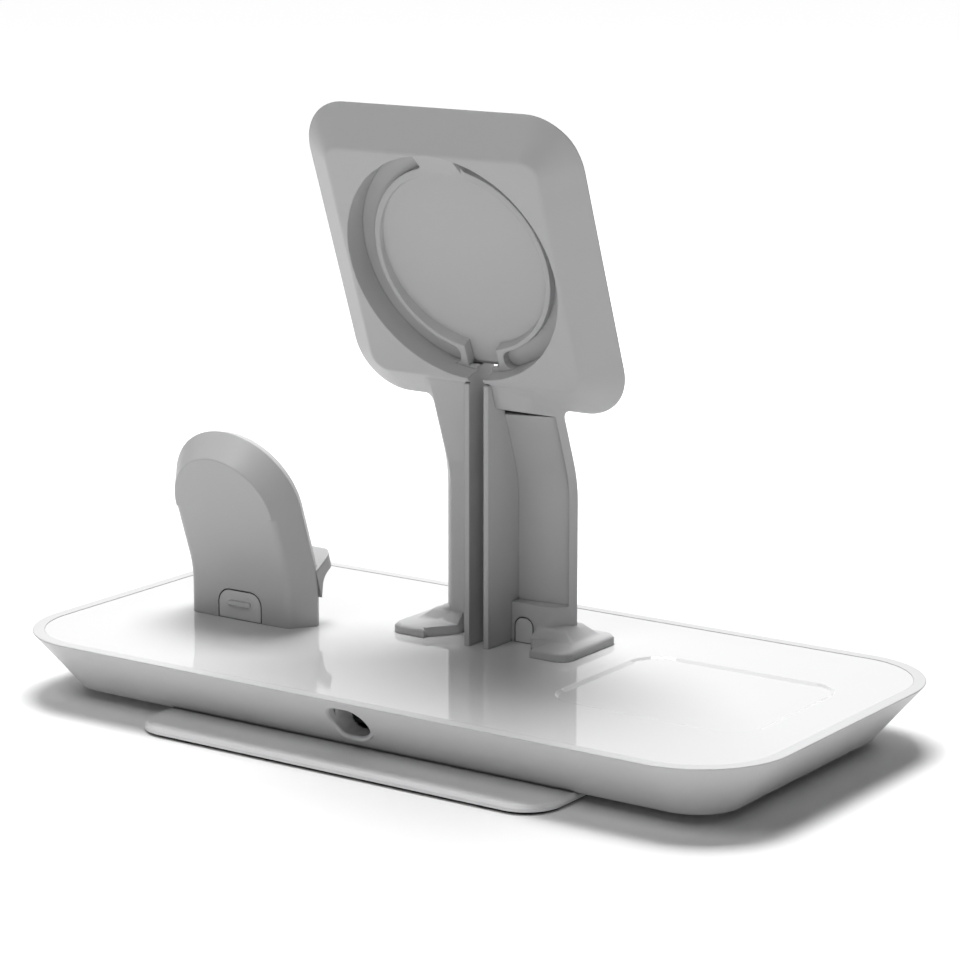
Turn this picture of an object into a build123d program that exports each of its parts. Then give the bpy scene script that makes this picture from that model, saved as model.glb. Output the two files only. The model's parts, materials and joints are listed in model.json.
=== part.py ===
from build123d import *
from math import atan, cos, degrees, hypot, radians, sin, tan
import os

# Millimetres. +X runs to the watch stand, +Y to the back, where the inlet is, and +Z up.
# The origin is the middle of the base, on the surface that the charger stands on.

# base body
base_length = 225.2
base_depth = 112.3
base_height = 15.0
base_corner = 24.7
side_inset = 12.8
shell_wall = 2.4
shell_floor = 2.0
rim_width = 3.35
rim_chamfer = 0.25

# glossy top plate, set into the rim
plate_thickness = 2.0
plate_drop = 0.3
plate_clearance = 0.15

# shallow seat for an earbud case
seat_end = 44.7
seat_y = -0.7
seat_length = 57.8
seat_depth = 49.5
seat_corner = 9.0
seat_dish = 1.0
seat_slope = 1.6

# foot under the body, set towards the back
sole_thickness = 0.7
foot_thickness = 1.6
foot_length = 125.0
foot_overhang = 4.15
foot_front_inset = 18.15
foot_corner = 9.8
foot_bevel = 0.8
sole_inset = 0.9

# power inlet in the back slope
inlet_width = 11.3
inlet_height = 7.9
inlet_wall = 1.1
inlet_depth = 9.0
inlet_z_share = 0.555
inlet_chamfer = 0.4
socket_width = 8.94
socket_height = 3.26
socket_skin = 0.3
socket_length = 7.3
tongue_width = 6.7
tongue_thickness = 0.7
tongue_set_back = 1.0

# main board and what is on it
board_length = 84.0
board_depth = 24.0
board_thickness = 1.2
board_x = 6.0
board_boss_radius = 2.6
board_screw_radius = 1.1
board_screw_inset = 4.0
screw_head_radius = 2.0
screw_head_height = 1.3
chip_sizes = ((7.0, 7.0, 0.9), (5.0, 5.0, 0.9), (6.5, 6.5, 3.0), (6.5, 6.5, 3.0), (4.0, 6.0, 1.6))
chip_pitch = 12.5

# charging coils
coil_outer = 21.0
coil_inner = 10.0
coil_thickness = 1.4
ferrite_thickness = 1.0
ferrite_margin = 1.5
coil_gap = 0.3

# foot screws, from below into the shell
foot_screw_radius = 1.4
foot_screw_end = 9.5
foot_screw_front = 12.0
foot_screw_back = 28.3
foot_boss_size = 6.4
foot_boss_roof = 1.0
foot_screw_length = 6.5

# steel weight on the shell floor
ballast_length = 74.0
ballast_depth = 34.0
ballast_thickness = 3.0
ballast_corner = 2.0
ballast_gap = 2.9

# phone stand head: its widest line is a rounded square, tilted back
tilt = 19.76
head_width = 83.0
head_height = 82.3
head_corner = 14.2
head_rise = 102.1
head_y = 0.4
back_depth = 6.65
back_inset = 9.7
back_fold = 2.5
front_depth = 5.0
front_inset = 4.2

# round recess in the back of the head, with a groove to wind the lead in
recess_radius = 31.1
disc_radius = 26.1
disc_level = 1.9
dish_radius = 24.2
dish_low = -0.7
dish_flare = 15.0
groove_level = -0.2
groove_end_round = 2.2
top_neck = 5.8
top_neck_run = 6.5
bottom_neck = 4.8
bottom_lip = 1.9
lead_slit = 0.6

# seat for a magnetic charging puck in the front of the head
puck_radius = 27.95
puck_clearance = 0.25
puck_seat_depth = 3.2

# stem
stem_y = -20.65
stem_half = 20.4
stem_flat_half = 15.3
stem_back = 5.65
stem_front = 2.4
stem_front_half = 18.2
stem_bend = 32.0
neck_round = 3.5

# lead slot between two fins, and the plug pocket beside it
slot_half = 2.25
slot_floor = 0.5
fin_thickness = 1.5
fin_y = -4.4
window_top = 30.1
window_bottom = 38.0
pocket_ledge = 10.8
pocket_floor = 0.7
pocket_rise = 2.6
pocket_wall_x = 18.75
pocket_top = 43.0
pocket_mouth = 38.9

# toes at both ends of the stem
toe_inner = 16.6
toe_outer = 27.7
toe_front = -29.5
toe_back = -4.2
toe_thickness = 2.7
toe_corner = 3.5
toe_edge = 0.9
toe_neck_inner = 11.6
toe_neck_rise = 3.0
toe_neck_flare = 2.6
toe_neck_spread = 1.6

# tongues that plug the stands into the base
tongue_clearance = 0.15
plug_depth = 7.0
phone_plug_x = 11.5
phone_plug_length = 9.0
phone_plug_width = 4.0
watch_plug_length = 24.0
watch_plug_width = 4.5
phone_plug_y = -18.9
watch_plug_y = 5.2
dock_wall = 1.5
pin_size = 1.0
pin_pitch = 4.0
pin_count = 4

# press latches in the backs of the stands
phone_latch_x = -7.67
phone_latch_width = 5.3
phone_latch_height = 6.8
phone_latch_corner = 2.3
watch_latch_width = 14.1
watch_latch_height = 8.0
watch_latch_corner = 3.6
latch_gap = 0.35
latch_thickness = 1.8
latch_travel = 1.2
latch_wall = 1.2
latch_flange = 1.0
latch_rib_width = 7.6
latch_rib_height = 1.2
latch_rib_rise = 0.7
latch_rib_z = 4.7

# watch stand
watch_end = 45.2
watch_y = 2.1
watch_half = 20.8
watch_flat_half = 16.1
watch_back = 6.9
watch_front = 2.4
watch_front_half = 19.4
watch_rear_round = 3.0
watch_tilt = 18.6
watch_bend = 32.0
watch_rise = 52.5
watch_lean = 13.1

# shelf that the watch lies on, below the middle of the round top
shelf_down = 18.6
shelf_lift = 2.0
shelf_reach = 6.0
shelf_lip = 3.7
shelf_thickness = 3.0
shelf_root_round = 5.0
shelf_corner = 3.0

# charger in the front of the watch stand
cover_inset = 2.2
cover_drop = 15.2
cover_thickness = 1.2
cover_clearance = 0.15
watch_coil_thickness = 1.4
watch_ferrite_thickness = 1.0
watch_magnet_radius = 4.0
watch_puck_radius = 14.0
watch_puck_height = 3.0
watch_puck_rise = 1.4
watch_puck_chamfer = 0.6
watch_coil_outer = 12.2
watch_coil_inner = 4.5

# an edge lies this near to the line that it is picked by
edge_near = 0.3

# levels and places worked out from the sizes above
z_foot = sole_thickness
z_body = z_foot + foot_thickness
z_floor = z_body + shell_floor
z_rim = z_body + base_height
z_plate = z_rim - plate_drop
z_under = z_plate - plate_thickness
slope_wall = shell_wall * hypot(base_height, side_inset) / base_height
plate_length = base_length - 2 * rim_width
plate_depth = base_depth - 2 * rim_width
plate_corner = base_corner - rim_width
inlet_z = z_body + inlet_z_share * base_height
inlet_y = base_depth / 2 - side_inset * (z_rim - inlet_z) / base_height
seat_x = seat_end - base_length / 2
watch_x = base_length / 2 - watch_end
foot_back = base_depth / 2 + foot_overhang
foot_front = foot_front_inset - base_depth / 2
board_back = inlet_y - inlet_depth
board_top = inlet_z - socket_height / 2
board_y = board_back - board_depth / 2


def draft(inset, height):
    """Taper that moves a wall in by an inset over a height, in degrees."""
    return degrees(atan(inset / height))


def body_outline(z, wall=0.0):
    """Length, depth and corner radius of the sloping body at a height, less a wall."""
    inset = side_inset * (z_rim - z) / base_height + wall
    return base_length - 2 * inset, base_depth - 2 * inset, base_corner - inset


def stand_plane(angle, y, z, x=0.0):
    """Plane of a leaning stand's widest line: local y up the stand, local z out of its back."""
    lean = radians(angle)
    return Plane(origin=(x, y, z), x_dir=(-1, 0, 0), z_dir=(0, cos(lean), -sin(lean)))


def leaning(angle, y, z, up, out):
    """Y and Z of a point that lies up the stand and out of its back."""
    lean = radians(angle)
    return y + up * sin(lean) + out * cos(lean), z + up * cos(lean) - out * sin(lean)


head_z = z_plate + head_rise
plateau_half = head_height / 2 - back_inset
toe_y = (toe_front + toe_back) / 2
z_plug = z_plate - plug_depth
head_plane = stand_plane(tilt, head_y, head_z)
stem_kink = head_z - (head_y - stem_y) / tan(radians(tilt))
watch_top_z = z_plate + watch_rise
watch_top_y = watch_y + watch_lean
watch_kink = watch_top_z - watch_lean / tan(radians(watch_tilt))
watch_plane = stand_plane(
    watch_tilt,
    watch_top_y - watch_half * sin(radians(watch_tilt)),
    watch_top_z - watch_half * cos(radians(watch_tilt)),
    watch_x,
)


def screw_places():
    """The four foot screws."""
    along = foot_length / 2 - foot_screw_end
    across = (foot_front + foot_screw_front, foot_back - foot_screw_back)
    return [(side * along, y) for side in (-1, 1) for y in across]


def board_corners():
    """The two board screws, in opposite corners."""
    along = board_length / 2 - board_screw_inset
    across = board_depth / 2 - board_screw_inset
    return [(board_x + side * along, board_y + side * across) for side in (-1, 1)]


os.makedirs("parts", exist_ok=True)

# base shell: a sloping cup with a ledge under its rim
body_draft = draft(side_inset, base_height)
with BuildPart() as base_shell:
    with BuildSketch(Plane.XY.offset(z_rim)):
        RectangleRounded(*body_outline(z_rim))
    extrude(amount=-base_height, taper=body_draft)
    chamfer(base_shell.edges().group_by(Axis.Z)[-1], length=rim_chamfer)
    with BuildSketch(Plane.XY.offset(z_under)):
        RectangleRounded(*body_outline(z_under, slope_wall))
    extrude(amount=z_floor - z_under, taper=body_draft, mode=Mode.SUBTRACT)
    # bosses for the foot screws and the board
    with BuildSketch(Plane.XY.offset(z_body)):
        with Locations(*screw_places()):
            Rectangle(foot_boss_size, foot_boss_size)
    extrude(amount=foot_screw_length + foot_boss_roof)
    with BuildSketch(Plane.XY.offset(z_body)):
        with Locations(*board_corners()):
            Circle(board_boss_radius)
    extrude(amount=board_top - board_thickness - z_body)
    # tunnel of the power inlet
    with BuildSketch(Plane.XZ.offset(-board_back)):
        with Locations((0, inlet_z)):
            SlotOverall(inlet_width + 2 * inlet_wall, inlet_height + 2 * inlet_wall)
    extrude(amount=-(inlet_depth - shell_wall))
    with BuildSketch(Plane.XZ.offset(-board_back)):
        with Locations((0, inlet_z)):
            SlotOverall(inlet_width, inlet_height)
    extrude(amount=-3 * inlet_depth, mode=Mode.SUBTRACT)
    mouth = base_shell.edges().filter_by(lambda e: abs(e.center().X) < inlet_width / 2)
    mouth = mouth.filter_by(lambda e: abs(e.center().Z - inlet_z) < inlet_height / 2 + inlet_chamfer)
    chamfer(mouth.filter_by(lambda e: e.center().Y > inlet_y - inlet_height / 2), length=inlet_chamfer)
    with BuildSketch(Plane.XY.offset(z_under)):
        RectangleRounded(plate_length, plate_depth, plate_corner)
    extrude(amount=plate_thickness + 2 * plate_drop, mode=Mode.SUBTRACT)
    # screw holes
    with BuildSketch(Plane.XY.offset(z_body)):
        with Locations(*screw_places()):
            Circle(foot_screw_radius)
    extrude(amount=foot_screw_length, mode=Mode.SUBTRACT)
    with BuildSketch(Plane.XY.offset(board_top)):
        with Locations(*board_corners()):
            Circle(board_screw_radius)
    extrude(amount=-(board_top - z_floor), mode=Mode.SUBTRACT)
base_shell.part.label = "base_shell"
export_step(base_shell.part, "parts/base_shell.step")


def plate_cutouts(grow):
    """Holes in the plate for the stands' plugs, each grown by a clearance."""
    with Locations((-phone_plug_x, phone_plug_y), (phone_plug_x, phone_plug_y)):
        Rectangle(phone_plug_length + 2 * grow, phone_plug_width + 2 * grow)
    with Locations((watch_x, watch_plug_y)):
        Rectangle(watch_plug_length + 2 * grow, watch_plug_width + 2 * grow)


# glossy top plate with the shallow earbud seat
with BuildPart() as top_plate:
    with BuildSketch(Plane.XY.offset(z_under)):
        RectangleRounded(
            plate_length - 2 * plate_clearance,
            plate_depth - 2 * plate_clearance,
            plate_corner - plate_clearance,
        )
    extrude(amount=plate_thickness)
    with BuildSketch(Plane((seat_x, seat_y, z_plate))):
        RectangleRounded(seat_length, seat_depth, seat_corner)
    with BuildSketch(Plane((seat_x, seat_y, z_plate - seat_dish))):
        RectangleRounded(seat_length - 2 * seat_slope, seat_depth - 2 * seat_slope, seat_corner - seat_slope)
    loft(mode=Mode.SUBTRACT)
    with BuildSketch(Plane.XY.offset(z_under)):
        plate_cutouts(tongue_clearance)
    extrude(amount=plate_thickness, mode=Mode.SUBTRACT)
top_plate.part.label = "top_plate"
export_step(top_plate.part, "parts/top_plate.step")

# foot plate under the body
foot_middle = (foot_back + foot_front) / 2
foot_depth = foot_back - foot_front
with BuildPart() as foot_plate:
    with BuildSketch(Plane((0, foot_middle, z_foot))):
        RectangleRounded(foot_length, foot_depth, foot_corner)
    extrude(amount=foot_thickness)
    top_edges = foot_plate.edges().group_by(Axis.Z)[-1]
    chamfer(top_edges, length=foot_bevel)
    with BuildSketch(Plane.XY.offset(z_foot)):
        with Locations(*screw_places()):
            Circle(foot_screw_radius + tongue_clearance)
    extrude(amount=foot_thickness, mode=Mode.SUBTRACT)
foot_plate.part.label = "foot_plate"
export_step(foot_plate.part, "parts/foot_plate.step")

# rubber sole
with BuildPart() as foot_sole:
    with BuildSketch(Plane((0, foot_middle, 0))):
        RectangleRounded(foot_length - 2 * sole_inset, foot_depth - 2 * sole_inset, foot_corner - sole_inset)
    extrude(amount=sole_thickness)
foot_sole.part.label = "foot_sole"
export_step(foot_sole.part, "parts/foot_sole.step")

# foot screws: countersunk flush with the foot, under the rubber sole
with BuildPart() as foot_screws:
    with BuildSketch(Plane.XY.offset(z_foot)):
        with Locations(*screw_places()):
            Circle(foot_screw_radius)
    extrude(amount=foot_thickness + foot_screw_length)
foot_screws.part.label = "foot_screws"
export_step(foot_screws.part, "parts/foot_screws.step")

# power socket on the board: a folded metal shell with a tongue in its mouth
with BuildPart() as socket_shell:
    with BuildSketch(Plane.XZ.offset(-board_back)):
        with Locations((0, inlet_z)):
            SlotOverall(socket_width, socket_height)
    extrude(amount=socket_length)
    with BuildSketch(Plane.XZ.offset(-board_back)):
        with Locations((0, inlet_z)):
            SlotOverall(socket_width - 2 * socket_skin, socket_height - 2 * socket_skin)
    extrude(amount=socket_length - socket_skin, mode=Mode.SUBTRACT)
socket_shell.part.label = "socket_shell"
export_step(socket_shell.part, "parts/socket_shell.step")

with BuildPart() as socket_tongue:
    with BuildSketch(Plane.XZ.offset(-board_back + socket_length - socket_skin)):
        with Locations((0, inlet_z)):
            Rectangle(tongue_width, tongue_thickness)
    extrude(amount=-(socket_length - tongue_set_back))
socket_tongue.part.label = "socket_tongue"
export_step(socket_tongue.part, "parts/socket_tongue.step")

# main board
with BuildPart() as main_board:
    with BuildSketch(Plane((board_x, board_y, board_top - board_thickness))):
        Rectangle(board_length, board_depth)
    extrude(amount=board_thickness)
    with BuildSketch(Plane.XY.offset(board_top)):
        with Locations(*board_corners()):
            Circle(board_screw_radius + tongue_clearance)
    extrude(amount=-board_thickness, mode=Mode.SUBTRACT)
main_board.part.label = "main_board"
export_step(main_board.part, "parts/main_board.step")

# board screws
with BuildPart() as board_screws:
    with BuildSketch(Plane.XY.offset(board_top)):
        with Locations(*board_corners()):
            Circle(screw_head_radius)
    extrude(amount=screw_head_height)
    with BuildSketch(Plane.XY.offset(board_top)):
        with Locations(*board_corners()):
            Circle(board_screw_radius)
    extrude(amount=-(board_top - z_floor - tongue_clearance))
board_screws.part.label = "board_screws"
export_step(board_screws.part, "parts/board_screws.step")

# chips and coils on the board, in a row in front of the socket
with BuildPart() as board_chips:
    for index, (chip_x, chip_y, chip_z) in enumerate(chip_sizes):
        place = board_x + (index - (len(chip_sizes) - 1) / 2) * chip_pitch
        with BuildSketch(Plane((place, board_y - board_depth / 6, board_top))):
            Rectangle(chip_x, chip_y)
        extrude(amount=chip_z)
board_chips.part.label = "board_chips"
export_step(board_chips.part, "parts/board_chips.step")

# coil and ferrite under the earbud seat
with BuildPart() as earbud_coil:
    with BuildSketch(Plane((seat_x, seat_y, z_under))):
        Circle(coil_outer)
        Circle(coil_inner, mode=Mode.SUBTRACT)
    extrude(amount=-coil_thickness)
earbud_coil.part.label = "earbud_coil"
export_step(earbud_coil.part, "parts/earbud_coil.step")

with BuildPart() as earbud_ferrite:
    with BuildSketch(Plane((seat_x, seat_y, z_under - coil_thickness))):
        Rectangle(2 * (coil_outer + ferrite_margin), 2 * (coil_outer + ferrite_margin))
    extrude(amount=-ferrite_thickness)
earbud_ferrite.part.label = "earbud_ferrite"
export_step(earbud_ferrite.part, "parts/earbud_ferrite.step")

# steel weight that keeps the charger from tipping
ballast_y = ballast_gap + ballast_depth / 2 - body_outline(z_floor, slope_wall)[1] / 2
with BuildPart() as ballast_plate:
    with BuildSketch(Plane((0, ballast_y, z_floor))):
        RectangleRounded(ballast_length, ballast_depth, ballast_corner)
    extrude(amount=ballast_thickness)
ballast_plate.part.label = "ballast_plate"
export_step(ballast_plate.part, "parts/ballast_plate.step")

# docks under the plate that take the stands' plugs
with BuildPart() as phone_dock:
    with BuildSketch(Plane((0, phone_plug_y, z_floor + ballast_thickness))):
        Rectangle(
            2 * phone_plug_x + phone_plug_length + 2 * dock_wall,
            phone_plug_width + 2 * dock_wall,
        )
    extrude(amount=z_under - z_floor - ballast_thickness)
    with BuildSketch(Plane.XY.offset(z_plug - tongue_clearance)):
        with Locations((-phone_plug_x, phone_plug_y), (phone_plug_x, phone_plug_y)):
            Rectangle(phone_plug_length + 2 * tongue_clearance, phone_plug_width + 2 * tongue_clearance)
    extrude(amount=plug_depth, mode=Mode.SUBTRACT)
phone_dock.part.label = "phone_dock"
export_step(phone_dock.part, "parts/phone_dock.step")

pin_places = [(watch_x + (i - (pin_count - 1) / 2) * pin_pitch, watch_plug_y) for i in range(pin_count)]
with BuildPart() as watch_dock:
    with BuildSketch(Plane((watch_x, watch_plug_y, z_floor))):
        Rectangle(watch_plug_length + 2 * dock_wall, watch_plug_width + 2 * dock_wall)
    extrude(amount=z_under - z_floor)
    with BuildSketch(Plane((watch_x, watch_plug_y, z_plug - tongue_clearance))):
        Rectangle(watch_plug_length + 2 * tongue_clearance, watch_plug_width + 2 * tongue_clearance)
    extrude(amount=plug_depth, mode=Mode.SUBTRACT)
    with BuildSketch(Plane.XY.offset(z_floor)):
        with Locations(*pin_places):
            Rectangle(pin_size, pin_size)
    extrude(amount=plug_depth, mode=Mode.SUBTRACT)
watch_dock.part.label = "watch_dock"
export_step(watch_dock.part, "parts/watch_dock.step")

with BuildPart() as dock_pins:
    with BuildSketch(Plane.XY.offset(z_floor)):
        with Locations(*pin_places):
            Rectangle(pin_size, pin_size)
    extrude(amount=z_plug - z_floor)
dock_pins.part.label = "dock_pins"
export_step(dock_pins.part, "parts/dock_pins.step")


def section_points(half, flat_half, front_half, back, front):
    """Outline of a stand's section: the widest line at y = 0, bevels behind and in front."""
    right = [(front_half, -front), (half, 0), (flat_half, back)]
    return right + [(-x, y) for x, y in reversed(right)]


# phone stand: head, bent stem, fins and toes in one moulding
stem_end = leaning(tilt, head_y, head_z, 0, 0)
slot_points = [
    (stem_y + slot_floor, z_plug),
    (stem_y + slot_floor, stem_kink),
    leaning(tilt, head_y, head_z, -window_top, slot_floor),
    leaning(tilt, head_y, head_z, -window_top, 3 * back_depth),
    (-stem_y, z_plug),
]
fin_up = (fin_y - head_y - back_depth * cos(radians(tilt))) / sin(radians(tilt))
fin_top = leaning(tilt, head_y, head_z, fin_up, back_depth)
fin_root = leaning(tilt, head_y, head_z, fin_up, back_depth / 2)
fin_middle = slot_half + fin_thickness / 2
neck_depth = stem_front + stem_back
neck_y = stem_y + (stem_back - stem_front) / 2
toe_top = z_plate + toe_thickness
toe_neck_outer = stem_half + toe_neck_flare + toe_neck_spread
phone_face = stem_y + stem_back
latch_hole_depth = latch_thickness + latch_travel + latch_gap
cover_half = watch_front_half - cover_inset
charger_depth = watch_puck_height - watch_puck_rise - cover_thickness + watch_coil_thickness + watch_ferrite_thickness
dish_angle = degrees(atan((disc_level - dish_low) / (2 * dish_radius)))
dish_plane = stand_plane(tilt + dish_angle, *leaning(tilt, head_y, head_z, 0, (disc_level + dish_low) / 2))


def head_place(item):
    """Centre of an edge in the head's plane."""
    return head_plane.to_local_coords(item.center())


def arch(width, height, corner):
    """Opening with round upper corners, standing on the sketch's origin."""
    with BuildSketch(mode=Mode.PRIVATE) as outline:
        Rectangle(width, height, align=(Align.CENTER, Align.MIN))
        fillet(outline.vertices().group_by(Axis.Y)[-1], radius=corner)
    return outline.sketch


def latch_mouth(width, height, corner):
    """Opening that a latch tab moves in, with its gap all round."""
    return arch(width + 2 * latch_gap, height + latch_gap, corner + latch_gap)


with BuildPart() as phone_stand:
    # head, drafted back and front from its widest line
    with BuildSketch(head_plane):
        RectangleRounded(head_width, head_height, head_corner)
    extrude(amount=back_depth, taper=draft(back_inset, back_depth))
    with BuildSketch(head_plane):
        RectangleRounded(head_width, head_height, head_corner)
    extrude(amount=-front_depth, taper=draft(front_inset, front_depth))
    flat = phone_stand.faces().sort_by(Axis(head_plane.origin, head_plane.z_dir))[-1]
    fillet(flat.edges(), radius=back_fold)
    # stem, swept up and back
    with BuildLine(Plane.YZ) as stem_path:
        FilletPolyline((stem_y, z_plate), (stem_y, stem_kink), stem_end, radius=stem_bend)
    with BuildSketch(Plane((0, stem_y, z_plate))):
        with BuildLine():
            Polyline(*section_points(stem_half, stem_flat_half, stem_front_half, stem_back, stem_front), close=True)
        make_face()
    sweep(path=stem_path.line)
    # rounded corners where the head's slopes meet the stem's
    for slope in (1, -1):
        joints = phone_stand.edges().filter_by(lambda e: stem_flat_half < abs(head_place(e).X) < stem_half)
        joints = joints.filter_by(lambda e: -head_height / 2 < head_place(e).Y < -plateau_half)
        joints = joints.filter_by(lambda e: slope * head_place(e).Z > edge_near and e.length > edge_near)
        fillet(joints, radius=neck_round)
    # plug pocket beside the slot, swept up the stem, with a sloping top
    with BuildLine(Plane.YZ) as pocket_path:
        FilletPolyline(
            (stem_y, z_plate + pocket_ledge),
            (stem_y, stem_kink),
            leaning(tilt, head_y, head_z, -pocket_top, 0),
            radius=stem_bend,
        )
    with BuildSketch(Plane((0, stem_y, z_plate + pocket_ledge))):
        with BuildLine():
            Polyline(
                (-fin_middle, pocket_rise),
                (-fin_middle, 2 * stem_back),
                (-pocket_wall_x, 2 * stem_back),
                (-pocket_wall_x, pocket_floor),
                close=True,
            )
        make_face()
    sweep(path=pocket_path.line, mode=Mode.SUBTRACT)
    with BuildSketch(Plane.YZ.offset(-fin_middle)):
        with BuildLine():
            Polyline(
                leaning(tilt, head_y, head_z, -pocket_top, pocket_floor),
                leaning(tilt, head_y, head_z, -pocket_mouth, back_depth),
                leaning(tilt, head_y, head_z, -pocket_top, 2 * back_depth),
                close=True,
            )
        make_face()
    extrude(amount=fin_middle - pocket_wall_x, mode=Mode.SUBTRACT)
    # fins on both sides of the lead slot
    for side in (-1, 1):
        with BuildSketch(Plane.YZ.offset(side * fin_middle)):
            with BuildLine():
                Polyline(
                    (stem_y, z_plate),
                    (fin_y, z_plate),
                    fin_top,
                    fin_root,
                    (stem_y, stem_kink),
                    close=True,
                )
            make_face()
        extrude(amount=fin_thickness / 2, both=True)
    # toes and the flared neck above each
    for side in (-1, 1):
        with BuildSketch(Plane((side * (toe_inner + toe_outer) / 2, toe_y, z_plate))):
            Rectangle(toe_outer - toe_inner, toe_back - toe_front)
        extrude(amount=toe_thickness)
    uprights = phone_stand.edges().filter_by(Axis.Z).filter_by(lambda e: e.center().Z < toe_top)
    fillet(uprights.filter_by(lambda e: abs(abs(e.center().X) - toe_outer) < edge_near), radius=toe_corner)
    toe_tops = phone_stand.edges().filter_by(lambda e: abs(e.center().Z - toe_top) < edge_near)
    toe_tops = toe_tops.filter_by(
        lambda e: abs(e.center().X) > stem_half + toe_edge or abs(e.center().Y - stem_y) > neck_depth
    )
    chamfer(toe_tops, length=toe_edge)
    for side in (-1, 1):
        with BuildSketch(Plane((side * (toe_neck_inner + toe_neck_outer) / 2, neck_y, toe_top))):
            Rectangle(toe_neck_outer - toe_neck_inner, neck_depth + 2 * toe_neck_flare)
        with BuildSketch(Plane((side * (toe_neck_inner + stem_half) / 2, neck_y, toe_top + toe_neck_rise))):
            Rectangle(stem_half - toe_neck_inner, neck_depth)
        loft(ruled=True)
    # the round recess in the back of the head
    with BuildSketch(head_plane.offset(disc_level)):
        Circle(recess_radius)
    extrude(amount=2 * back_depth, mode=Mode.SUBTRACT)
    # ramp that joins the disc to the top of the head
    with BuildSketch(Plane(head_plane.origin, x_dir=head_plane.y_dir, z_dir=head_plane.x_dir)):
        with BuildLine():
            Polyline(
                (recess_radius - top_neck_run, disc_level),
                (recess_radius, back_depth - back_fold / 2),
                (recess_radius + top_neck_run / 2, groove_level),
                (recess_radius - top_neck_run, groove_level),
                close=True,
            )
        make_face()
    extrude(amount=top_neck, both=True)
    # floor of the disc, sloping down to the lead slot, and the winding groove
    with BuildSketch(dish_plane):
        Circle(dish_radius)
    extrude(amount=back_depth, taper=-dish_flare, mode=Mode.SUBTRACT)
    with BuildSketch(dish_plane):
        with Locations((0, -window_top / 2)):
            Rectangle(2 * bottom_neck, window_top)
    extrude(amount=back_depth, mode=Mode.SUBTRACT)
    with BuildSketch(head_plane.offset(groove_level)) as groove:
        Circle(recess_radius)
        Circle(disc_radius, mode=Mode.SUBTRACT)
        with Locations((0, recess_radius)):
            Rectangle(2 * top_neck, 2 * recess_radius, mode=Mode.SUBTRACT)
        with Locations((0, -recess_radius)):
            Rectangle(2 * (bottom_neck + bottom_lip), 2 * recess_radius, mode=Mode.SUBTRACT)
        fillet(groove.vertices(), radius=groove_end_round)
    extrude(amount=disc_level - groove_level, mode=Mode.SUBTRACT)
    # lead slot, and its window through the head
    with BuildSketch(Plane.YZ):
        with BuildLine():
            Polyline(*slot_points, close=True)
        make_face()
    extrude(amount=slot_half, both=True, mode=Mode.SUBTRACT)
    with BuildSketch(head_plane.offset(slot_floor)):
        with Locations((0, -(window_top + window_bottom) / 2)):
            Rectangle(2 * slot_half, window_bottom - window_top)
        with Locations((0, -window_top - lead_slit / 2)):
            Rectangle(2 * bottom_neck, lead_slit)
    extrude(amount=-2 * front_depth, mode=Mode.SUBTRACT)
    # seat for the charging puck in the front
    with BuildSketch(head_plane.offset(-front_depth)):
        Circle(puck_radius + puck_clearance)
    extrude(amount=puck_seat_depth, mode=Mode.SUBTRACT)
    # plugs that enter the base
    with BuildSketch(Plane.XY.offset(z_plug)):
        with Locations((-phone_plug_x, phone_plug_y), (phone_plug_x, phone_plug_y)):
            Rectangle(phone_plug_length, phone_plug_width)
    extrude(amount=plug_depth)
    # channel for the latch, open below, and its arched mouth
    with BuildSketch(Plane((phone_latch_x, phone_face - latch_wall, z_plate))):
        Rectangle(
            phone_latch_width + 2 * latch_flange + 2 * latch_gap,
            latch_hole_depth - latch_wall,
            align=(Align.CENTER, Align.MAX),
        )
    extrude(amount=phone_latch_height + latch_flange + latch_gap, mode=Mode.SUBTRACT)
    with BuildSketch(Plane.XZ.offset(-phone_face)):
        with Locations((phone_latch_x, z_plate)):
            add(latch_mouth(phone_latch_width, phone_latch_height, phone_latch_corner))
    extrude(amount=2 * latch_wall, mode=Mode.SUBTRACT)
phone_stand.part.label = "phone_stand"
export_step(phone_stand.part, "parts/phone_stand.step")


def latch_outline(width, height, corner, grow=0.0):
    """Arched outline of a latch, standing a little above the plate; grown, it is its flange."""
    with Locations((0, latch_gap)):
        add(arch(width + 2 * grow, height - latch_gap + grow, corner + grow))


# phone latch: an arched tab with a flange behind the wall
with BuildPart() as phone_latch:
    with BuildSketch(Plane((phone_latch_x, phone_face, z_plate), x_dir=(1, 0, 0), z_dir=(0, -1, 0))):
        latch_outline(phone_latch_width, phone_latch_height, phone_latch_corner)
    extrude(amount=latch_thickness)
    flange_y = phone_face - latch_wall - latch_gap / 2
    with BuildSketch(Plane((phone_latch_x, flange_y, z_plate), x_dir=(1, 0, 0), z_dir=(0, -1, 0))):
        latch_outline(phone_latch_width, phone_latch_height, phone_latch_corner, latch_flange)
    extrude(amount=latch_thickness - latch_wall)
phone_latch.part.label = "phone_latch"
export_step(phone_latch.part, "parts/phone_latch.step")

# watch stand: a paddle with a round top, a shelf and a plug below
watch_axis = Axis(watch_plane.origin, -watch_plane.z_dir)
watch_points = section_points(watch_half, watch_flat_half, watch_front_half, watch_back, watch_front)
watch_face = watch_y + watch_back


def on_paddle(up, out):
    """Y and Z of a point on the watch stand's paddle."""
    return leaning(watch_tilt, watch_plane.origin.Y, watch_plane.origin.Z, up, out)


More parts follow.
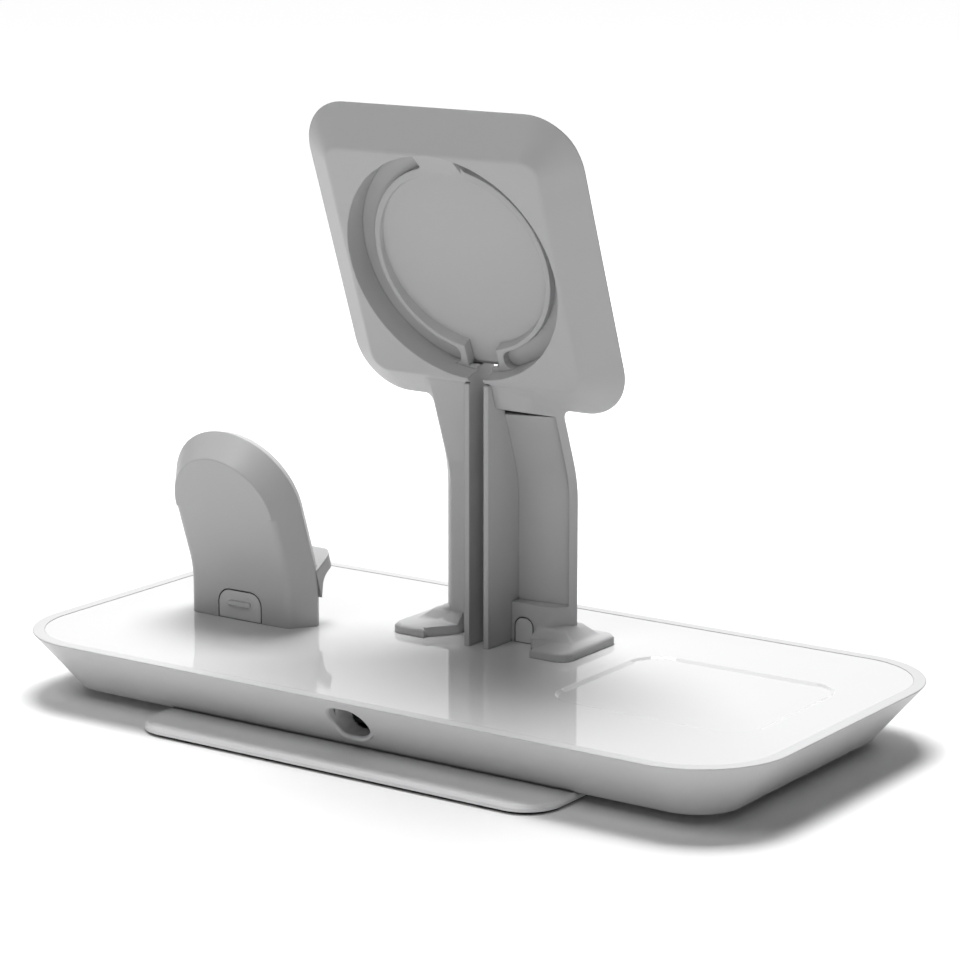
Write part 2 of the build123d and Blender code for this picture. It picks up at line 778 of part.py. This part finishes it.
with BuildPart() as watch_stand:
    with BuildLine(Plane.YZ.offset(watch_x)) as watch_path:
        FilletPolyline((watch_y, z_plate), (watch_y, watch_kink), on_paddle(0, 0), radius=watch_bend)
    with BuildSketch(Plane((watch_x, watch_y, z_plate))) as section:
        with BuildLine():
            Polyline(*watch_points, close=True)
        make_face()
        fillet(section.vertices().group_by(Axis.Y)[-1], radius=watch_rear_round)
    sweep(path=watch_path.line)
    with BuildSketch(Plane(watch_plane.origin, x_dir=(1, 0, 0), z_dir=watch_plane.y_dir)) as half_section:
        with BuildLine():
            Polyline((0, -watch_front), *watch_points[:3], (0, watch_back), close=True)
        make_face()
        rear = half_section.vertices().filter_by(lambda v: abs(v.X - watch_x - watch_flat_half) < edge_near)
        fillet(rear, radius=watch_rear_round)
    revolve(axis=watch_axis, revolution_arc=180)
    # shelf, thick at its rounded lip and hollow below
    with BuildSketch(Plane.YZ.offset(watch_x)) as shelf_section:
        with BuildLine():
            Polyline(
                on_paddle(-shelf_down, 0),
                on_paddle(-shelf_down + shelf_lift, -watch_front - shelf_reach),
                on_paddle(-shelf_down + shelf_lift - shelf_lip, -watch_front - shelf_reach),
                on_paddle(-shelf_down - shelf_thickness, -watch_front),
                    on_paddle(-shelf_down - shelf_thickness - shelf_root_round, 0),
                close=True,
            )
        make_face()
        root = on_paddle(-shelf_down - shelf_thickness, -watch_front)
        fillet(shelf_section.vertices().sort_by_distance(root)[0], radius=shelf_root_round)
    extrude(amount=watch_half, both=True)
    lip_corners = watch_stand.edges().filter_by(
        lambda e: abs(abs(e.center().X - watch_x) - watch_half) < edge_near
    )
    lip_corners = lip_corners.sort_by(Axis.Y)[:2]
    fillet(lip_corners, radius=shelf_corner)
    # recess for the cover and bore for the charger behind it
    with BuildSketch(watch_plane.offset(-watch_front)):
        with BuildLine():
            Polyline((-cover_half, 0), (-cover_half, -cover_drop), (cover_half, -cover_drop), (cover_half, 0))
            CenterArc((0, 0), cover_half, 0, 180)
        make_face()
    extrude(amount=cover_thickness, mode=Mode.SUBTRACT)
    with BuildSketch(watch_plane.offset(-watch_front + cover_thickness)):
        Circle(watch_puck_radius + cover_clearance)
    extrude(amount=charger_depth, mode=Mode.SUBTRACT)
    # plug
    with BuildSketch(Plane((watch_x, watch_plug_y, z_plug))):
        Rectangle(watch_plug_length, watch_plug_width)
    extrude(amount=plug_depth)
    # channel for the latch, open below, and its arched mouth
    with BuildSketch(Plane((watch_x, watch_face - latch_wall, z_plate))):
        Rectangle(
            watch_latch_width + 2 * latch_flange + 2 * latch_gap,
            latch_hole_depth - latch_wall,
            align=(Align.CENTER, Align.MAX),
        )
    extrude(amount=watch_latch_height + latch_flange + latch_gap, mode=Mode.SUBTRACT)
    with BuildSketch(Plane((watch_x, watch_face, z_plate), x_dir=(1, 0, 0), z_dir=(0, -1, 0))):
        add(latch_mouth(watch_latch_width, watch_latch_height, watch_latch_corner))
    extrude(amount=2 * latch_wall, mode=Mode.SUBTRACT)
watch_stand.part.label = "watch_stand"
export_step(watch_stand.part, "parts/watch_stand.step")

# cover set into the front of the watch stand
lid_half = cover_half - cover_clearance
lid_drop = cover_drop - cover_clearance
with BuildPart() as watch_cover:
    with BuildSketch(watch_plane.offset(-watch_front)):
        with BuildLine():
            Polyline((-lid_half, 0), (-lid_half, -lid_drop), (lid_half, -lid_drop), (lid_half, 0))
            CenterArc((0, 0), lid_half, 0, 180)
        make_face()
        Circle(watch_puck_radius + cover_clearance, mode=Mode.SUBTRACT)
    extrude(amount=cover_thickness)
watch_cover.part.label = "watch_cover"
export_step(watch_cover.part, "parts/watch_cover.step")

# charging puck, coil, ferrite and magnet of the watch charger
with BuildPart() as watch_puck:
    with BuildSketch(watch_plane.offset(-watch_front - watch_puck_rise)):
        Circle(watch_puck_radius)
    extrude(amount=watch_puck_height)
    front_rim = watch_puck.edges().sort_by(Axis(watch_plane.origin, watch_plane.z_dir))[0]
    chamfer(front_rim, length=watch_puck_chamfer)
watch_puck.part.label = "watch_puck"
export_step(watch_puck.part, "parts/watch_puck.step")

coil_seat = -watch_front - watch_puck_rise + watch_puck_height
with BuildPart() as watch_coil:
    with BuildSketch(watch_plane.offset(coil_seat)):
        Circle(watch_coil_outer)
        Circle(watch_coil_inner, mode=Mode.SUBTRACT)
    extrude(amount=watch_coil_thickness)
watch_coil.part.label = "watch_coil"
export_step(watch_coil.part, "parts/watch_coil.step")

with BuildPart() as watch_magnet:
    with BuildSketch(watch_plane.offset(coil_seat)):
        Circle(watch_magnet_radius)
    extrude(amount=watch_coil_thickness)
watch_magnet.part.label = "watch_magnet"
export_step(watch_magnet.part, "parts/watch_magnet.step")

with BuildPart() as watch_ferrite:
    with BuildSketch(watch_plane.offset(coil_seat + watch_coil_thickness)):
        Circle(watch_puck_radius - cover_clearance)
    extrude(amount=watch_ferrite_thickness)
watch_ferrite.part.label = "watch_ferrite"
export_step(watch_ferrite.part, "parts/watch_ferrite.step")

# watch latch: an arched tab with a finger rib
with BuildPart() as watch_latch:
    with BuildSketch(Plane((watch_x, watch_face, z_plate), x_dir=(1, 0, 0), z_dir=(0, -1, 0))):
        latch_outline(watch_latch_width, watch_latch_height, watch_latch_corner)
    extrude(amount=latch_thickness)
    with BuildSketch(Plane((watch_x, watch_face, z_plate + latch_rib_z), x_dir=(1, 0, 0), z_dir=(0, -1, 0))):
        SlotOverall(latch_rib_width, latch_rib_height)
    extrude(amount=-latch_rib_rise)
    flange_y = watch_face - latch_wall - latch_gap / 2
    with BuildSketch(Plane((watch_x, flange_y, z_plate), x_dir=(1, 0, 0), z_dir=(0, -1, 0))):
        latch_outline(watch_latch_width, watch_latch_height, watch_latch_corner, latch_flange)
    extrude(amount=latch_thickness - latch_wall)
watch_latch.part.label = "watch_latch"
export_step(watch_latch.part, "parts/watch_latch.step")
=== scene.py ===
import json
from math import radians

import bmesh
import bpy
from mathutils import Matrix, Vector

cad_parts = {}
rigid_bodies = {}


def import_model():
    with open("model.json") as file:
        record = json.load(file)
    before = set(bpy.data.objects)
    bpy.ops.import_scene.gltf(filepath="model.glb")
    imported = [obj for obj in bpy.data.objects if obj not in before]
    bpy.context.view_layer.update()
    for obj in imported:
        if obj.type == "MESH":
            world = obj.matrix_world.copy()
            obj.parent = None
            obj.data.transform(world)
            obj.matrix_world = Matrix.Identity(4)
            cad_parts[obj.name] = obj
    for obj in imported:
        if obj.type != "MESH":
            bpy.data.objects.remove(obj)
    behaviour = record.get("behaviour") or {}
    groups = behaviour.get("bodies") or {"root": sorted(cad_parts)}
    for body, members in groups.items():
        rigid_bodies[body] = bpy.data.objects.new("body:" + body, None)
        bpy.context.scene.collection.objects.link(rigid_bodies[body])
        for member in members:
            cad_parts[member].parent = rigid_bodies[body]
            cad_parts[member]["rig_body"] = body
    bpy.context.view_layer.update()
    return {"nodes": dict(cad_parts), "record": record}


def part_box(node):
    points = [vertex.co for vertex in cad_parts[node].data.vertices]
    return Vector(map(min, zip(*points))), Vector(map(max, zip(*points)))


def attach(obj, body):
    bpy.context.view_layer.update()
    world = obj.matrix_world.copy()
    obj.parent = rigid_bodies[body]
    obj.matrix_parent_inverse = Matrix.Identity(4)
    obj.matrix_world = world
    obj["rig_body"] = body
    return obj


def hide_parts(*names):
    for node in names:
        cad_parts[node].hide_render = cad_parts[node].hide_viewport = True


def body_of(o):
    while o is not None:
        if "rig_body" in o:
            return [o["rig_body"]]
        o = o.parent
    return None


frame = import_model()
print("frame loaded:", len(frame["nodes"]), "nodes")

# lengths are metres, angles degrees and lamp powers watts
# the camera stands behind the charger and looks over its back
cameraView = {
    "place": (-0.45461, 0.64658, 0.23577),
    "turn": 214.859,
    "tilt": 12.382,
    "lens": 119.5,
    "sensor": 36.0,
    "clipStart": 0.01,
}

studio = {
    "floorHalf": 4.0,
    "floorColour": (0.9, 0.9, 0.9, 1.0),
    "floorRoughness": 0.9,
    "glowFrom": (-0.52, 0.74, 0.0),   # the paper glows a little, more the farther it is from this place
    "glowStart": 0.85,
    "glowEnd": 1.9,
    "glow": 1.0,
    "domeColour": (1.0, 1.0, 1.0, 1.0),
    "brightWay": (0.56, -0.8, 0.3),   # the side that the dome is bright on, which the glossy plate mirrors
    "brightEdge": 0.75,
    "dim": 0.02,
    "bright": 1.0,
}

softboxes = {
    "overhead": {"place": (0.14, -0.2, 0.95), "aim": (0.0, 0.0, 0.05), "size": 0.5, "power": 11.5},
    "overheadBack": {"place": (0.1, 0.5, 0.8), "aim": (0.0, 0.0, 0.03), "size": 0.35, "power": 1.6},
    "cameraSide": {"place": (-0.52, 0.74, 0.25), "aim": (0.0, 0.0, 0.03), "size": 0.45, "power": 0.65},
}


def setUpCamera():
    camera = bpy.data.objects.new("photoCamera", bpy.data.cameras.new("photoCamera"))
    camera.data.lens = cameraView["lens"]
    camera.data.sensor_width = cameraView["sensor"]
    camera.data.clip_start = cameraView["clipStart"]
    camera.location = cameraView["place"]
    camera.rotation_euler = (radians(90 - cameraView["tilt"]), 0, radians(cameraView["turn"]))
    bpy.context.collection.objects.link(camera)
    bpy.context.scene.camera = camera


def nodeSet(material):
    material.use_nodes = True
    nodes = material.node_tree.nodes
    links = material.node_tree.links
    nodes.clear()
    output = nodes.new("ShaderNodeOutputMaterial")
    shader = nodes.new("ShaderNodeBsdfPrincipled")
    links.new(shader.outputs["BSDF"], output.inputs["Surface"])
    return nodes, links, shader


def addRamp(nodes, links, source, values, smooth=False):
    # a map range from one value's socket, with only the ends that differ from 0 and 1 given
    ramp = nodes.new("ShaderNodeMapRange")
    if smooth:
        ramp.interpolation_type = "SMOOTHSTEP"
    for socket, value in values.items():
        ramp.inputs[socket].default_value = value
    links.new(source, ramp.inputs["Value"])
    return ramp.outputs["Result"]


def setUpFloor():
    mesh = bpy.data.meshes.new("floorSheet")
    sheet = bmesh.new()
    bmesh.ops.create_grid(sheet, x_segments=1, y_segments=1, size=studio["floorHalf"])
    sheet.to_mesh(mesh)
    sheet.free()
    floor = bpy.data.objects.new("floorSheet", mesh)
    bpy.context.collection.objects.link(floor)
    material = bpy.data.materials.new("floorPaper")
    nodes, links, shader = nodeSet(material)
    shader.inputs["Base Color"].default_value = studio["floorColour"]
    shader.inputs["Roughness"].default_value = studio["floorRoughness"]
    shader.inputs["Specular IOR Level"].default_value = 0.0
    shader.inputs["Emission Color"].default_value = studio["floorColour"]
    place = nodes.new("ShaderNodeTexCoord")
    reach = nodes.new("ShaderNodeVectorMath")
    reach.operation = "DISTANCE"
    reach.inputs[1].default_value = studio["glowFrom"]
    links.new(place.outputs["Object"], reach.inputs[0])
    glowEnds = {"From Min": studio["glowStart"], "From Max": studio["glowEnd"], "To Max": studio["glow"]}
    glow = addRamp(nodes, links, reach.outputs["Value"], glowEnds, smooth=True)
    links.new(glow, shader.inputs["Emission Strength"])
    mesh.materials.append(material)


def setUpWorld():
    world = bpy.data.worlds.new("studioWorld")
    world.use_nodes = True
    nodes = world.node_tree.nodes
    links = world.node_tree.links
    way = nodes.new("ShaderNodeTexCoord")
    side = nodes.new("ShaderNodeVectorMath")
    side.operation = "DOT_PRODUCT"
    side.inputs[1].default_value = Vector(studio["brightWay"]).normalized()
    links.new(way.outputs["Generated"], side.inputs[0])
    fadeEnds = {"From Min": studio["brightEdge"], "To Min": studio["dim"], "To Max": studio["bright"]}
    fade = addRamp(nodes, links, side.outputs["Value"], fadeEnds, smooth=True)
    nodes["Background"].inputs["Color"].default_value = studio["domeColour"]
    links.new(fade, nodes["Background"].inputs["Strength"])
    bpy.context.scene.world = world


def setUpLights():
    for name, box in softboxes.items():
        light = bpy.data.lights.new(name, "AREA")
        light.shape = "SQUARE"
        light.size = box["size"]
        light.energy = box["power"]
        lamp = bpy.data.objects.new(name, light)
        lamp.location = box["place"]
        lamp.rotation_euler = (Vector(box["place"]) - Vector(box["aim"])).to_track_quat("Z", "Y").to_euler()
        bpy.context.collection.objects.link(lamp)


bpy.context.scene.view_settings.view_transform = "Standard"   # white paper stays white
setUpCamera()
setUpFloor()
setUpWorld()
setUpLights()
print("camera, floor and lights ready")

# finishes: colour, roughness, metal or not, grain size in patterns per metre, grain depth,
# and the radius that the shader rounds edges to
finishes = {
    "white_plastic": {
        "colour": (0.62, 0.62, 0.625), "rough": 0.42, "metal": 0.0,
        "grain": 3200, "depth": 0.000012, "round": 0.0005,
    },
    # painted shade: set darker than the shell's white plastic, for the shade on the stands' backs
    "stand_plastic": {
        "colour": (0.52, 0.52, 0.525), "rough": 0.4, "metal": 0.0,
        "grain": 3200, "depth": 0.000012, "round": 0.0005,
    },
    "gloss_top": {
        "colour": (0.7, 0.7, 0.705), "rough": 0.04, "metal": 0.0,
        "grain": 300, "depth": 0.0, "round": 0.0003,
    },
    # painted light: set lighter than the shell's white plastic, to brighten the foot where it lies in shade
    # under the shell's overhang
    "foot_plastic": {
        "colour": (0.84, 0.84, 0.845), "rough": 0.45, "metal": 0.0,
        "grain": 3200, "depth": 0.000012, "round": 0.0003,
    },
    "sole_rubber": {
        "colour": (0.03, 0.03, 0.03), "rough": 0.8, "metal": 0.0,
        "grain": 1500, "depth": 0.00004, "round": 0.0002,
    },
    # painted light: set lighter than the stands' plastic, to offset the painted shade in the latches' recesses
    "latch_plastic": {
        "colour": (0.66, 0.66, 0.665), "rough": 0.42, "metal": 0.0,
        "grain": 3200, "depth": 0.000012, "round": 0.0003,
    },
    "steel": {
        "colour": (0.55, 0.55, 0.57), "rough": 0.35, "metal": 1.0,
        "grain": 900, "depth": 0.00001, "round": 0.0,
    },
    "contact_metal": {
        "colour": (0.85, 0.65, 0.3), "rough": 0.25, "metal": 1.0,
        "grain": 900, "depth": 0.00001, "round": 0.0,
    },
    "copper": {
        "colour": (0.72, 0.35, 0.18), "rough": 0.3, "metal": 1.0,
        "grain": 900, "depth": 0.00002, "round": 0.0,
    },
    "ferrite": {
        "colour": (0.05, 0.05, 0.055), "rough": 0.7, "metal": 0.0,
        "grain": 900, "depth": 0.00003, "round": 0.0,
    },
    "board_laminate": {
        "colour": (0.006, 0.012, 0.009), "rough": 0.4, "metal": 0.0,
        "grain": 900, "depth": 0.00001, "round": 0.0,
    },
    "chip_black": {
        "colour": (0.02, 0.02, 0.02), "rough": 0.5, "metal": 0.0,
        "grain": 900, "depth": 0.00001, "round": 0.0,
    },
    "inner_plastic": {
        "colour": (0.03, 0.03, 0.033), "rough": 0.55, "metal": 0.0,
        "grain": 900, "depth": 0.00002, "round": 0.0,
    },
}

# what all finishes share: grain, faint clouds in the colour, and painted shade in creases and between parts
# where another surface lies close
mould = {
    "grainDetail": 3.0,
    "cloudScale": 35.0,
    "cloudTone": {"To Min": 0.985, "To Max": 1.015},
    "roughTone": {"To Min": 0.9, "To Max": 1.1},
    # painted shade: how near another surface must lie, and how dark the colour is painted there
    "paintedShadeReach": 0.0012,
    "paintedShadeTone": {"From Min": 0.15, "From Max": 0.65, "To Min": 0.25},
    "shaderSamples": 6,
}


def makeGrainAndShadeGroup():
    # the group gives the grain, the clouds in the colour and the painted shade in creases and between parts
    group = bpy.data.node_groups.new("mouldGrainAndPaintedShade", "ShaderNodeTree")
    sockets = (
        ("Grain", "INPUT", "NodeSocketFloat"),
        ("Colour", "INPUT", "NodeSocketColor"),
        ("Rough", "INPUT", "NodeSocketFloat"),
        ("Colour", "OUTPUT", "NodeSocketColor"),
        ("Rough", "OUTPUT", "NodeSocketFloat"),
        ("Height", "OUTPUT", "NodeSocketFloat"),
    )
    for name, way, kind in sockets:
        group.interface.new_socket(name, in_out=way, socket_type=kind)
    nodes, links = group.nodes, group.links
    source = nodes.new("NodeGroupInput")
    result = nodes.new("NodeGroupOutput")
    place = nodes.new("ShaderNodeTexCoord")
    grain = nodes.new("ShaderNodeTexNoise")
    grain.inputs["Detail"].default_value = mould["grainDetail"]
    links.new(place.outputs["Object"], grain.inputs["Vector"])
    links.new(source.outputs["Grain"], grain.inputs["Scale"])
    cloud = nodes.new("ShaderNodeTexNoise")
    cloud.inputs["Scale"].default_value = mould["cloudScale"]
    links.new(place.outputs["Object"], cloud.inputs["Vector"])
    cloudTone = addRamp(nodes, links, cloud.outputs["Fac"], mould["cloudTone"])
    # painted shade: an occlusion test darkens the colour in creases and between parts
    paintedShade = nodes.new("ShaderNodeAmbientOcclusion")
    paintedShade.samples = mould["shaderSamples"]
    paintedShade.inputs["Distance"].default_value = mould["paintedShadeReach"]
    paintedShadeTone = addRamp(nodes, links, paintedShade.outputs["AO"], mould["paintedShadeTone"])
    tone = nodes.new("ShaderNodeMath")
    tone.operation = "MULTIPLY"
    links.new(cloudTone, tone.inputs[0])
    links.new(paintedShadeTone, tone.inputs[1])
    shade = nodes.new("ShaderNodeVectorMath")
    shade.operation = "SCALE"
    links.new(source.outputs["Colour"], shade.inputs[0])
    links.new(tone.outputs["Value"], shade.inputs["Scale"])
    rough = nodes.new("ShaderNodeMath")
    rough.operation = "MULTIPLY"
    links.new(source.outputs["Rough"], rough.inputs[0])
    links.new(addRamp(nodes, links, grain.outputs["Fac"], mould["roughTone"]), rough.inputs[1])
    links.new(shade.outputs["Vector"], result.inputs["Colour"])
    links.new(rough.outputs["Value"], result.inputs["Rough"])
    links.new(grain.outputs["Fac"], result.inputs["Height"])
    return group


grainAndShadeGroup = makeGrainAndShadeGroup()


def makeFinish(name, look):
    material = bpy.data.materials.new(name)
    nodes, links, shader = nodeSet(material)
    grain = nodes.new("ShaderNodeGroup")
    grain.node_tree = grainAndShadeGroup
    grain.inputs["Grain"].default_value = look["grain"]
    grain.inputs["Colour"].default_value = look["colour"] + (1.0,)
    grain.inputs["Rough"].default_value = look["rough"]
    # the group's colour holds the clouds and the painted shade in creases and between parts
    links.new(grain.outputs["Colour"], shader.inputs["Base Color"])
    links.new(grain.outputs["Rough"], shader.inputs["Roughness"])
    shader.inputs["Metallic"].default_value = look["metal"]
    soft = None
    if look["round"]:
        soft = nodes.new("ShaderNodeBevel")
        soft.samples = mould["shaderSamples"]
        soft.inputs["Radius"].default_value = look["round"]
        links.new(soft.outputs["Normal"], shader.inputs["Normal"])
    if look["depth"]:
        bump = nodes.new("ShaderNodeBump")
        bump.inputs["Distance"].default_value = look["depth"]
        links.new(grain.outputs["Height"], bump.inputs["Height"])
        if soft:
            links.new(soft.outputs["Normal"], bump.inputs["Normal"])
        links.new(bump.outputs["Normal"], shader.inputs["Normal"])
    return material


materials = {name: makeFinish(name, look) for name, look in finishes.items()}
slotOf = {part["node"]: part["material_slot"] for part in frame["record"]["subparts"]}
for name in frame["nodes"]:
    piece = bpy.data.objects[name]
    piece.data.materials.clear()
    piece.data.materials.append(materials[slotOf[name]])
print("finishes given to", len(frame["nodes"]), "nodes")

# the mouldings that show: a merged copy of each is shaded smooth, but edges as sharp as this angle stay crisp
mouldings = {
    "base_shell": 28,
    "top_plate": 12,
    "foot_plate": 28,
    "foot_sole": 28,
    "phone_stand": 50,
    "phone_latch": 26,
    "watch_stand": 50,
    "watch_latch": 26,
    "watch_cover": 26,
    "watch_puck": 28,
}
mergeWithin = 0.000002

# the plate's copy is a hair wider and higher than the solid, so that its joint with the rim is a fine line
# the floor of its earbud seat, found between dipLow and dipHigh below the top, comes up to dip and reads as a
# soft line in the gloss
plateCopy = {"grow": 0.00012, "raise": 0.0002, "dip": 0.0005, "dipLow": 0.0003, "dipHigh": 0.0015}

# the two webs that run the toes on to the back of the stem, below the flared necks (plan of one, mirrored in x)
toeWeb = {
    "plan": ((0.0176, -0.0053), (0.0167, -0.0053), (0.0116, -0.0123), (0.0116, -0.0153), (0.0176, -0.0153)),
    "low": 0.01701,
    "high": 0.01971,
}


def seatPlate(shape, name):
    low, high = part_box(name)
    wide = [(high[axis] - low[axis] + 2 * plateCopy["grow"]) / (high[axis] - low[axis]) for axis in (0, 1)]
    bmesh.ops.scale(shape, vec=(wide[0], wide[1], 1.0), verts=shape.verts)
    top = high[2]
    seatFloor = [v for v in shape.verts if plateCopy["dipLow"] < top - v.co.z < plateCopy["dipHigh"]]
    for vert in seatFloor:
        vert.co.z = top - plateCopy["dip"]
    bmesh.ops.translate(shape, vec=(0.0, 0.0, plateCopy["raise"]), verts=shape.verts)
    print("seat floor corners:", len(seatFloor))


def addToeWebs(shape):
    for side in (-1, 1):
        corners = [shape.verts.new((side * x, y, toeWeb["low"])) for x, y in toeWeb["plan"]]
        base = shape.faces.new(corners)
        solid = bmesh.ops.extrude_face_region(shape, geom=[base])["geom"]
        raised = [item for item in solid if isinstance(item, bmesh.types.BMVert)]
        bmesh.ops.translate(shape, vec=(0.0, 0.0, toeWeb["high"] - toeWeb["low"]), verts=raised)
        outline = set(corners + raised)
        walls = [face for face in shape.faces if all(vert in outline for vert in face.verts)]
        bmesh.ops.recalc_face_normals(shape, faces=walls)


def smoothMoulding(name, crispAngle):
    shape = bmesh.new()
    shape.from_mesh(bpy.data.objects[name].data)
    bmesh.ops.remove_doubles(shape, verts=shape.verts, dist=mergeWithin)
    if name == "top_plate":
        seatPlate(shape, name)
    if name == "phone_stand":
        addToeWebs(shape)
    for face in shape.faces:
        face.smooth = True
    for edge in shape.edges:
        edge.smooth = len(edge.link_faces) == 2 and edge.calc_face_angle() < radians(crispAngle)
    mesh = bpy.data.meshes.new(name + "_moulding")
    shape.to_mesh(mesh)
    shape.free()
    mesh.materials.append(materials[slotOf[name]])
    piece = bpy.data.objects.new(name + "_moulding", mesh)
    bpy.context.collection.objects.link(piece)
    evenNormals = piece.modifiers.new("evenNormals", "WEIGHTED_NORMAL")
    evenNormals.keep_sharp = True
    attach(piece, body_of(bpy.data.objects[name])[0])
    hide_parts(name)


for name, crispAngle in mouldings.items():
    smoothMoulding(name, crispAngle)
print("smooth mouldings made:", len(mouldings))
